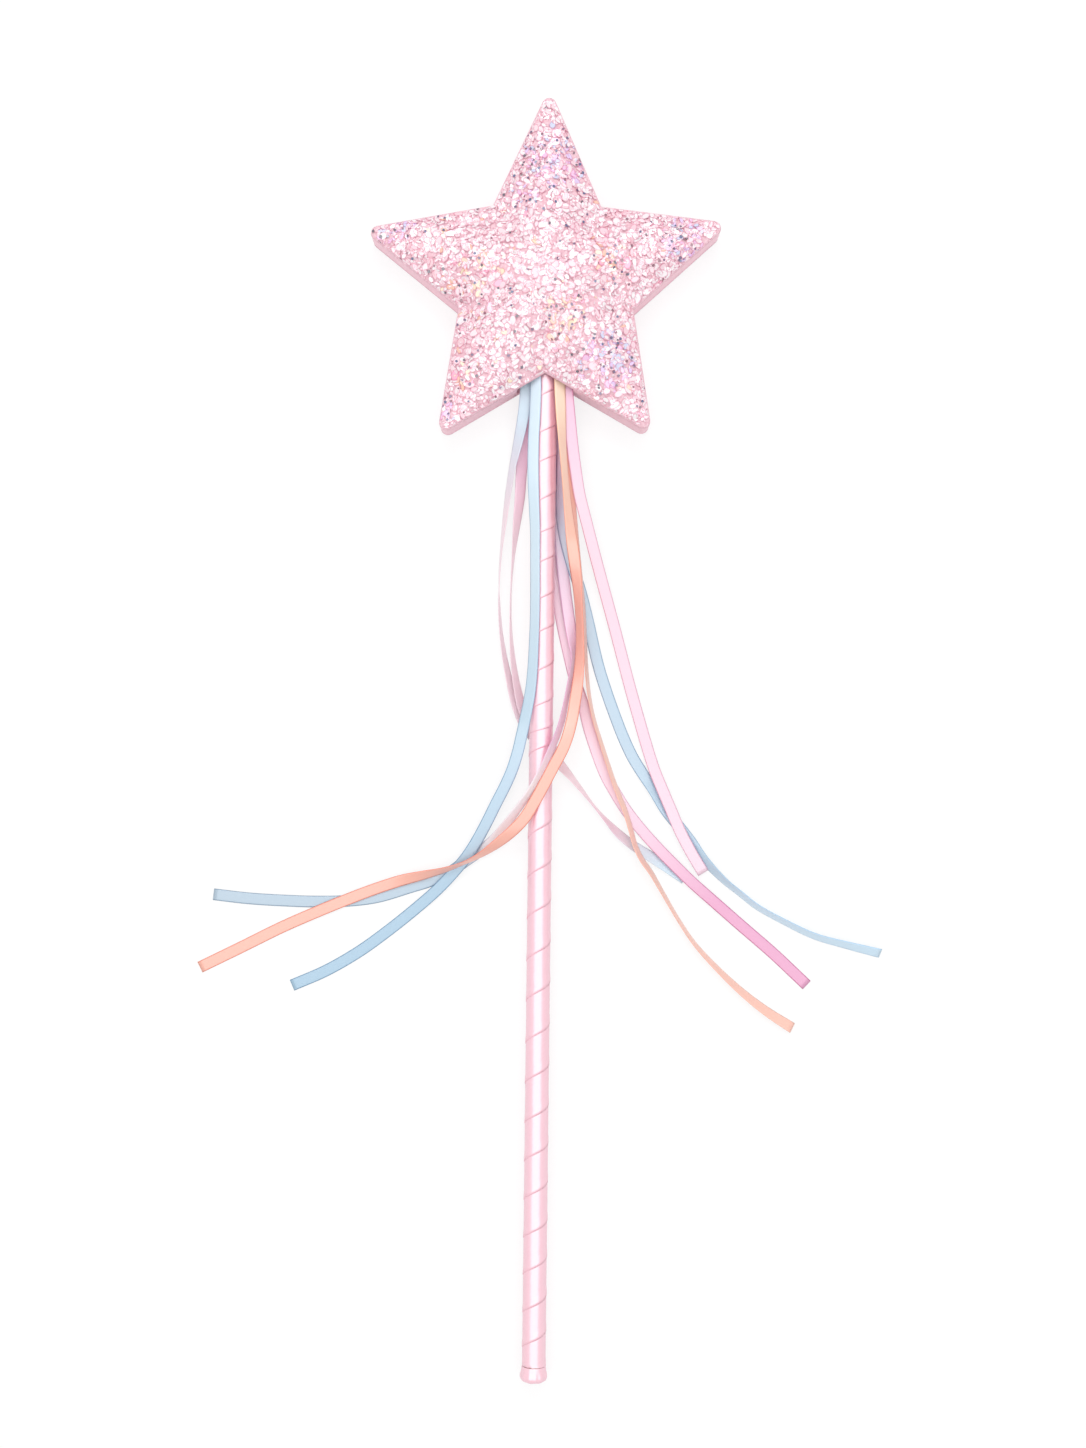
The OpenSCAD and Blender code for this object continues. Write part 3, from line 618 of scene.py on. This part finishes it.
def streamer_mesh(name, route):
    """A closed flat ribbon along the route, rolled about its line, with its UV map."""
    line = smooth_route(route, 1.6)
    columns = 9
    mesh = bmesh.new()
    uv = mesh.loops.layers.uv.new("ribbon")
    rings, path, run = [], [], 0
    for i, row in enumerate(line):
        roll = math.radians(row[3])
        half = ribbon_wide / 2
        lowest = half * abs(math.sin(roll)) + (ribbon_thick / 2) * abs(math.cos(roll)) + ribbon_rest
        centre = row.xyz * mm
        centre.z = max(centre.z, lowest)
        along = (line[min(i + 1, len(line) - 1)].xyz - line[max(i - 1, 0)].xyz).normalized()
        side = along.cross(Vector((0, 0, 1))).normalized()
        rise = side.cross(along)
        wide = side * math.cos(roll) + rise * math.sin(roll)
        thick = rise * math.cos(roll) - side * math.sin(roll)
        if path:
            run += (centre - path[-1]).length / mm
        path.append(centre)
        ring = []
        for facing in (1, -1):
            for k in range(columns):
                share = k / (columns - 1) if facing > 0 else 1 - k / (columns - 1)
                cup = ribbon_cup * (1 - (2 * share - 1) ** 2)
                edge = 0.55 if k in (0, columns - 1) else 1
                offset = cup + facing * edge * ribbon_thick / 2
                v = mesh.verts.new(centre + wide * (share - 0.5) * ribbon_wide + thick * offset)
                ring.append((v, run, share))
        rings.append(ring)
    count = 2 * columns

    def add_face(corners):
        f = mesh.faces.new([c[0] for c in corners])
        f.smooth = True
        for loop, corner in zip(f.loops, corners):
            loop[uv].uv = (corner[1], corner[2])

    for low, high in zip(rings, rings[1:]):
        for k in range(count):
            n = (k + 1) % count
            add_face((low[k], low[n], high[n], high[k]))
    for k in range(columns - 1):
        a, b = k, count - 1 - k
        add_face((rings[0][b], rings[0][b - 1], rings[0][a + 1], rings[0][a]))
        add_face((rings[-1][a], rings[-1][a + 1], rings[-1][b - 1], rings[-1][b]))
    bmesh.ops.recalc_face_normals(mesh, faces=mesh.faces)
    data = bpy.data.meshes.new(name)
    mesh.to_mesh(data)
    mesh.free()
    piece = bpy.data.objects.new(name, data)
    bpy.context.scene.collection.objects.link(piece)
    return piece, path, run * mm


for name, route in streamers.items():
    ribbon, path, length = streamer_mesh("satin_streamer_" + name, route)
    slot, tones = streamer_looks[name]
    edge_depth, shine = (0.15, 1.4) if name in edge_on else (0.85, 1.7)
    ribbon.data.materials.append(satin(name + "_satin", tones, edge_depth, shine))
    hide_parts("ribbon_" + name)
    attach(ribbon, "root")

# Star back cover
# One star of pink felt, cut with the core and glued flat on its back.
# The wand rests on it; its cut edge is a little soft.
star_y = 125.4
star_reach = 49.6
star_waist = 25
tip_round = 2
tip_lean = (-0.3, 2.9, 1.5, -0.8, 0)
tip_trim = (0, 0.2, 0.5, 1.3, 0)
felt_dull = (0.86, 0.52, 0.61, 1)
felt_bright = (0.95, 0.64, 0.71, 1)


def star_line(inset, arc=6, edge=12):
    """The hand-cut star's outline in millimetres about its centre, with points along its edges."""
    half = math.pi / 5
    corner = star_waist * Vector((math.cos(half), math.sin(half)))
    to_tip = Vector((star_reach - tip_round, 0)) - corner
    sweep = math.atan2(to_tip.y, to_tip.x) + math.asin(tip_round / to_tip.length) + math.pi / 2
    shrink = 1 - inset / (star_waist * math.cos(half - sweep))
    keys = []
    for k in range(5):
        axis = math.pi / 2 + 2 * half * k
        turn = Matrix.Rotation(axis + math.radians(tip_lean[k]), 2)
        for i in range(arc + 1):
            s = sweep * (2 * i / arc - 1)
            r = tip_round - inset
            tip = Vector((star_reach - tip_round - tip_trim[k] + r * math.cos(s), r * math.sin(s)))
            keys.append((turn @ tip, i == arc))
        keys.append((Matrix.Rotation(axis, 2) @ (corner * shrink), True))
    line = []
    for (a, straight), (b, _) in zip(keys, keys[1:] + keys[:1]):
        count = edge if straight else 1
        line += [a.lerp(b, i / count) for i in range(count)]
    return line


def star_rings(name, rows, arc=6, edge=12):
    """An open stack of star outlines made from a circle: rows of inset, share of full size and height."""
    count = len(star_line(0, arc, edge))
    bpy.ops.object.select_all(action="DESELECT")
    bpy.ops.mesh.primitive_circle_add(vertices=count, radius=1, fill_type="NOTHING")
    piece = bpy.context.object
    piece.name = name
    bpy.ops.object.mode_set(mode="EDIT")
    for row in rows[1:]:
        bpy.ops.mesh.extrude_edges_move(TRANSFORM_OT_translate={"value": (0, 0, 1)})
    bpy.ops.object.mode_set(mode="OBJECT")
    lines = [star_line(inset, arc, edge) for inset, share, z in rows]
    for v in piece.data.vertices:
        row = round(v.co.z)
        k = round(math.atan2(-v.co.x, v.co.y) / (2 * math.pi) * count) % count
        inset, share, z = rows[row]
        p = lines[row][k] * share
        v.co = (p.x * mm, (p.y + star_y) * mm, z * mm)
    return piece


felt = star_rings("felt_back_cover", [(0.25, 1, 0), (0, 1, 0.25), (0, 1, 0.75), (0.25, 1, 1)], 6, 3)
only(felt)
bpy.ops.object.mode_set(mode="EDIT")
bpy.ops.mesh.select_all(action="SELECT")
bpy.ops.mesh.fill_holes(sides=0)
bpy.ops.mesh.normals_make_consistent(inside=False)
bpy.ops.object.mode_set(mode="OBJECT")
bpy.ops.object.shade_smooth_by_angle(angle=0.9)
pink_felt, nodes, links, shader = new_material("pink_felt")
fibres = object_pattern(nodes, links, "ShaderNodeTexNoise", 1800)
fibres.inputs["Detail"].default_value = 6
mottle = two_colours(nodes, links, fibres.outputs["Fac"], felt_dull, felt_bright, 0.3, 0.7)
links.new(mottle, shader.inputs["Base Color"])
bump(nodes, links, fibres.outputs["Fac"], shader, 0.8, 0.2 * mm)
shader.inputs["Roughness"].default_value = 0.95
shader.inputs["Sheen Weight"].default_value = 0.4
felt.data.materials.append(pink_felt)
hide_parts("star_back_cover")
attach(felt, "root")

# Star core
# A star of stiff closed-cell foam, slotted at its lower inner corner for the stick and ribbons.
# It is hidden; its CAD solid stays.
foam_deep = (0.9, 0.74, 0.78, 1)
foam_pale = (0.95, 0.84, 0.87, 1)
foam, nodes, links, shader = new_material("pale_foam")
cells = object_pattern(nodes, links, "ShaderNodeTexVoronoi", 1400)
bubbles = two_colours(nodes, links, cells.outputs["Distance"], foam_deep, foam_pale)
links.new(bubbles, shader.inputs["Base Color"])
bump(nodes, links, cells.outputs["Distance"], shader, 0.3, 0.1 * mm)
shader.inputs["Roughness"].default_value = 0.8
dress("star_core", foam)

# Star edge band
# A strip of plain pink fabric glued round the star's side, open at the slot.
# It bellies out slightly between the felt and the cover.
band_low = 1.02
band_high = 9.58
band_thick = 0.7 * mm
band_belly = 0.12
band_steps = 6
mouth_half = 7.5 * mm
band_dull = (1, 0.55, 0.66, 1)
band_bright = (1, 0.66, 0.75, 1)
band_rows = []
for i in range(band_steps + 1):
    t = i / band_steps
    inset = band_belly - band_belly * math.sin(math.pi * t)
    band_rows.append((inset, 1, band_low + (band_high - band_low) * t))
band = star_rings("fabric_edge_band", band_rows, 6, 10)
only(band)
bpy.ops.object.mode_set(mode="EDIT")
bpy.ops.mesh.select_all(action="DESELECT")
bpy.ops.object.mode_set(mode="OBJECT")
for v in band.data.vertices:
    v.select = abs(v.co.x) < mouth_half and v.co.y < star_y * mm
bpy.ops.object.mode_set(mode="EDIT")
bpy.ops.mesh.delete(type="VERT")
bpy.ops.mesh.select_all(action="SELECT")
bpy.ops.mesh.normals_make_consistent(inside=False)
bpy.ops.object.mode_set(mode="OBJECT")
wall = band.data.polygons[0]
if wall.normal.dot(wall.center - Vector((0, star_y * mm, wall.center.z))) < 0:
    band.data.flip_normals()
thick = band.modifiers.new("thickness", "SOLIDIFY")
thick.thickness = band_thick
thick.offset = -1
apply_modifiers(band)
bpy.ops.object.shade_smooth_by_angle(angle=0.7)
edge_cloth, nodes, links, shader = new_material("pink_edge_cloth")
weave = object_pattern(nodes, links, "ShaderNodeTexNoise", 2400, (1, 1, 0.5))
threads = two_colours(nodes, links, weave.outputs["Fac"], band_dull, band_bright, 0.3, 0.7)
links.new(threads, shader.inputs["Base Color"])
bump(nodes, links, weave.outputs["Fac"], shader, 0.4, 0.08 * mm)
shader.inputs["Roughness"].default_value = 0.8
shader.inputs["Sheen Weight"].default_value = 0.3
band.data.materials.append(edge_cloth)
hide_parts("star_edge_band")
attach(band, "root")

# Glue plug
# Hot glue that fills the slot round the stick and the streamers' ends.
# It is hidden behind the streamers; its CAD solid stays.
glue, nodes, links, shader = new_material("cloudy_glue")
shader.inputs["Base Color"].default_value = (0.88, 0.84, 0.75, 1)
cloud = object_pattern(nodes, links, "ShaderNodeTexNoise", 500)
bump(nodes, links, cloud.outputs["Fac"], shader, 0.3, 0.2 * mm)
shader.inputs["Roughness"].default_value = 0.35
dress("glue_plug", glue)

# Star padding
# Loose filling that lifts the cover into a crown with a ridge along each arm.
# It is hidden under the cover; its CAD solid stays.
filling, nodes, links, shader = new_material("white_filling")
shader.inputs["Base Color"].default_value = (0.93, 0.9, 0.9, 1)
tufts = object_pattern(nodes, links, "ShaderNodeTexNoise", 700)
bump(nodes, links, tufts.outputs["Fac"], shader, 1, 0.5 * mm)
shader.inputs["Roughness"].default_value = 1
dress("star_padding", filling)

# Star front cover
# A star of pink cloth drawn over the filling and glued down round its edge, so that it rises in
# soft ridges along the arms and dips between them.
cover_rim = 10.8
cover_crown = 8
cover_thick = 0.65 * mm
cover_free = (cover_rim + 0.3) * mm
cover_rings = 26
cloth_reach = 0.7 * mm
cloth_ripple = 0.1 * mm
# The backing cloth's pink is kept deep enough that, where it shows between the glitter flakes, it reads as
# painted shade in those gaps.
cloth_and_gap_shade_deep = (0.84, 0.5, 0.58, 1)
cloth_and_gap_shade_light = (0.95, 0.66, 0.73, 1)
cover_rows = [(0, 1, 9.66), (0, 1, 10.1), (0.03, 1, 10.45), (0.18, 1, 10.7), (0.42, 1, cover_rim + 0.06)]
for i in range(1, cover_rings):
    u = 0.975 * (1 - i / cover_rings)
    cover_rows.append((0, u, cover_rim + cover_crown * (1 - u**1.25)))
cover = star_rings("padded_front_cover", cover_rows, 6, 15)
only(cover)
bpy.ops.object.mode_set(mode="EDIT")
bpy.ops.mesh.select_all(action="DESELECT")
bpy.ops.object.mode_set(mode="OBJECT")
centre = Vector((0, star_y * mm, 0))
for v in cover.data.vertices:
    v.select = (Vector((v.co.x, v.co.y, 0)) - centre).length < 2 * mm
bpy.ops.object.mode_set(mode="EDIT")
bpy.ops.mesh.edge_face_add()
bpy.ops.mesh.poke()
bpy.ops.mesh.select_all(action="SELECT")
bpy.ops.mesh.normals_make_consistent(inside=False)
bpy.ops.object.mode_set(mode="OBJECT")
if cover.data.polygons[-1].normal.z < 0:
    cover.data.flip_normals()
shape = bmesh.new()
shape.from_mesh(cover.data)
free = [v for v in shape.verts if v.co.z > cover_free]
for i in range(30):
    bmesh.ops.smooth_vert(shape, verts=free, factor=0.5, use_axis_z=True)
shape.to_mesh(cover.data)
shape.free()
drawn = [v.co.copy() for v in cover.data.vertices]
held = cover.vertex_groups.new(name="glued_edge")
held.add([v.index for v in cover.data.vertices if v.co.z < cover_free], 1, "REPLACE")
filling_push = cover.modifiers.new("filling_push", "CLOTH")
filling_push.settings.mass = 0.001
filling_push.settings.tension_stiffness = 20
filling_push.settings.compression_stiffness = 20
filling_push.settings.bending_stiffness = 0.1
filling_push.settings.use_pressure = True
filling_push.settings.uniform_pressure_force = 4
filling_push.settings.effector_weights.gravity = 0
filling_push.settings.vertex_group_mass = "glued_edge"
for moment in range(1, 21):
    bpy.context.scene.frame_set(moment)
apply_modifiers(cover)
bpy.context.scene.frame_set(1)
for v, start in zip(cover.data.vertices, drawn):
    move = v.co - start
    v.co = start + move * min(1, cloth_reach / max(move.length, 0.001 * mm))
    if start.z > cover_free:
        v.co.z += cloth_ripple * noise.noise(Vector((v.co.x * 130, v.co.y * 130, 4)))
thick = cover.modifiers.new("thickness", "SOLIDIFY")
thick.thickness = cover_thick
thick.offset = -1
apply_modifiers(cover)
bpy.ops.object.shade_smooth()
# Pink cloth whose deeper tone also stands as painted shade in the gaps between flakes.
backing_and_gap_shade, nodes, links, shader = new_material("pink_backing_cloth_and_gap_shade")
weave = object_pattern(nodes, links, "ShaderNodeTexNoise", 1500)
threads = two_colours(nodes, links, weave.outputs["Fac"], cloth_and_gap_shade_deep, cloth_and_gap_shade_light, 0.35, 0.65)
links.new(threads, shader.inputs["Base Color"])
bump(nodes, links, weave.outputs["Fac"], shader, 0.6, 0.15 * mm)
shader.inputs["Roughness"].default_value = 0.7
cover.data.materials.append(backing_and_gap_shade)
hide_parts("star_front_cover")
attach(cover, "root")

# Star glitter
# Coarse film flakes glued all over the cover: mostly white and pink iridescent hexagons, some
# tinted, and a few small dark ones, which are painted reflections of dark surroundings. They lie
# nearly flat and overlap.
flake_count = 5400
dark_reflection_count = 560
flake_thick = 0.06 * mm
flake_length = 1.4
flake_longest = 3.6
flake_lean = 0.16
flake_trim = 0.3
dark_reflection_skip = 0.75
tint_share = 0.28
stray_share = 0.015
white_share = 0.48
pink_share = 0.88
rng = random.Random(7)
flake_whites = ((0.97, 0.9, 0.93), (0.96, 0.93, 0.94), (0.95, 0.85, 0.89))
flake_pinks = ((0.95, 0.72, 0.78), (0.93, 0.65, 0.73), (0.96, 0.78, 0.83))
flake_deeps = ((0.93, 0.62, 0.7), (0.94, 0.65, 0.74), (0.91, 0.58, 0.65))
flake_violets = ((0.8, 0.6, 0.93), (0.66, 0.72, 0.94), (0.93, 0.56, 0.84))
flake_ambers = ((0.96, 0.56, 0.42), (0.96, 0.82, 0.58), (0.94, 0.42, 0.6))
sparkle_spots = (
    (2, 33, 9, flake_violets), (-6, 22, 4, flake_violets), (-41, 13, 5, flake_violets),
    (-19, 1, 7, flake_ambers), (37, 11, 6, flake_violets), (18, 4, 5, flake_ambers),
    (16, -22, 8, flake_violets), (-21, -26, 4, flake_ambers), (5, -10, 6, flake_ambers),
    (-27, -35, 4, flake_violets),
)
# Each flake is darkened to this pink at its edge: painted shade along the outlines between overlapping
# flakes.
flake_edge_shade = (0.88, 0.5, 0.62, 1)
# Colours of the small dark flakes, painted reflections of dark surroundings.
flake_dark_reflections = ((0.13, 0.05, 0.18), (0.05, 0.06, 0.22), (0.24, 0.05, 0.11), (0.08, 0.05, 0.1))
bpy.ops.object.select_all(action="DESELECT")
bpy.ops.mesh.primitive_cylinder_add(vertices=6, radius=0.5, depth=1, end_fill_type="NGON")
pattern = bpy.context.object
flake_points = [v.co.copy() for v in pattern.data.vertices]
flake_faces = [tuple(p.vertices) for p in pattern.data.polygons]
bpy.data.objects.remove(pattern)
surface = BVHTree.FromObject(cover, bpy.context.evaluated_depsgraph_get())
brink = sorted((math.atan2(p.y, p.x), p.length) for p in star_line(flake_trim, 6, 15))
brink_turns = [turn for turn, reach in brink]


def edge_reach(out):
    """How far the cover's cut edge lies from its centre, in one direction."""
    k = bisect.bisect(brink_turns, math.atan2(out.y, out.x)) % len(brink)
    (a, near), (b, far) = brink[k - 1], brink[k]
    t = (math.atan2(out.y, out.x) - a) % math.tau / ((b - a) % math.tau)
    return (near + (far - near) * t) * mm


def trimmed(p):
    """The point drawn in to the cover's cut edge, if it lies past it."""
    out = Vector((p.x, p.y - star_y * mm))
    out *= min(1, edge_reach(out) / out.length)
    return Vector((out.x, out.y + star_y * mm, p.z))


def random_ground():
    """A random place on the cover's face, and the face's direction there."""
    spot = None
    while not spot:
        out = Vector((rng.uniform(-1, 1), rng.uniform(-1, 1))) * star_reach * mm
        if out.length < edge_reach(out):
            above = Vector((out.x, out.y + star_y * mm, 0.1))
            spot, up, _, _ = surface.ray_cast(above, Vector((0, 0, -1)))
    return spot, up


points, faces, colours = [], [], []
# The last flakes are the small dark ones, painted reflections; outside the tinted spots most are skipped.
for i in range(flake_count + dark_reflection_count):
    spot, up = random_ground()
    dark_reflection = i >= flake_count
    place = (spot.x / mm, spot.y / mm - star_y)
    tints = [row[3] for row in sparkle_spots if math.dist(place, row[:2]) < row[2]]
    if dark_reflection and not tints and rng.random() < dark_reflection_skip:
        continue
    pick = rng.random()
    if dark_reflection:
        colour = rng.choice(flake_dark_reflections)
    elif pick < (tint_share if tints else stray_share):
        colour = rng.choice(tints[0] if tints else flake_ambers)
    elif pick < white_share:
        colour = rng.choice(flake_whites)
    elif pick < pink_share:
        colour = rng.choice(flake_pinks)
    else:
        colour = rng.choice(flake_deeps)
    if dark_reflection:
        size = (0.65 + 0.35 * rng.random()) * mm
    else:
        size = min(flake_longest, flake_length * math.exp(rng.gauss(0.3, 0.34))) * mm
    lean = Vector((rng.gauss(0, flake_lean), rng.gauss(0, flake_lean), 1))
    turn = up.to_track_quat("Z", "Y").to_matrix() @ lean.to_track_quat("Z", "Y").to_matrix()
    turn = turn @ Matrix.Rotation(rng.uniform(0, math.tau), 3, "Z")
    lift = (0.42 if dark_reflection else rng.uniform(0.05, 0.32)) * mm
    first = len(points)
    narrow = rng.uniform(0.8, 1) if dark_reflection else rng.uniform(0.3, 0.75)
    for f in flake_points:
        corner = turn @ Vector((f.x * size, f.y * size * narrow, f.z * flake_thick))
        points.append(trimmed(spot + up * lift + corner))
        colours += [*colour, 1]
    faces += [tuple(first + j for j in face) for face in flake_faces]
flakes_data = bpy.data.meshes.new("glitter_flakes")
flakes_data.from_pydata(points, [], faces)
tone = flakes_data.color_attributes.new("flake", "FLOAT_COLOR", "POINT")
tone.data.foreach_set("color", colours)
sheet = flakes_data.uv_layers.new(name="flake_face")
flake_uvs = [c for face in flake_faces for j in face for c in flake_points[j].xy]
sheet.data.foreach_set("uv", flake_uvs * (len(points) // len(flake_points)))
flakes = bpy.data.objects.new("glitter_flakes", flakes_data)
bpy.context.scene.collection.objects.link(flakes)
film, nodes, links, shader = new_material("iridescent_film")
paint = nodes.new("ShaderNodeVertexColor")
paint.layer_name = "flake"
flake_map = nodes.new("ShaderNodeUVMap")
flake_map.uv_map = "flake_face"
# Darkening towards each flake's edge is painted shade between the flakes.
outward = nodes.new("ShaderNodeVectorMath")
outward.operation = "LENGTH"
links.new(flake_map.outputs["UV"], outward.inputs[0])
edge_shade_mask = remap(nodes, links, outward.outputs["Value"], 0.33, 0.4)
cut = nodes.new("ShaderNodeMix")
cut.data_type = "RGBA"
cut.blend_type = "MULTIPLY"
cut.inputs["B"].default_value = flake_edge_shade
links.new(edge_shade_mask, cut.inputs["Factor"])
links.new(paint.outputs["Color"], cut.inputs["A"])
links.new(cut.outputs["Result"], shader.inputs["Base Color"])
shader.inputs["Roughness"].default_value = 0.2
shader.inputs["Specular IOR Level"].default_value = 1
shader.inputs["IOR"].default_value = 1.8
flakes.data.materials.append(film)
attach(flakes, "root")
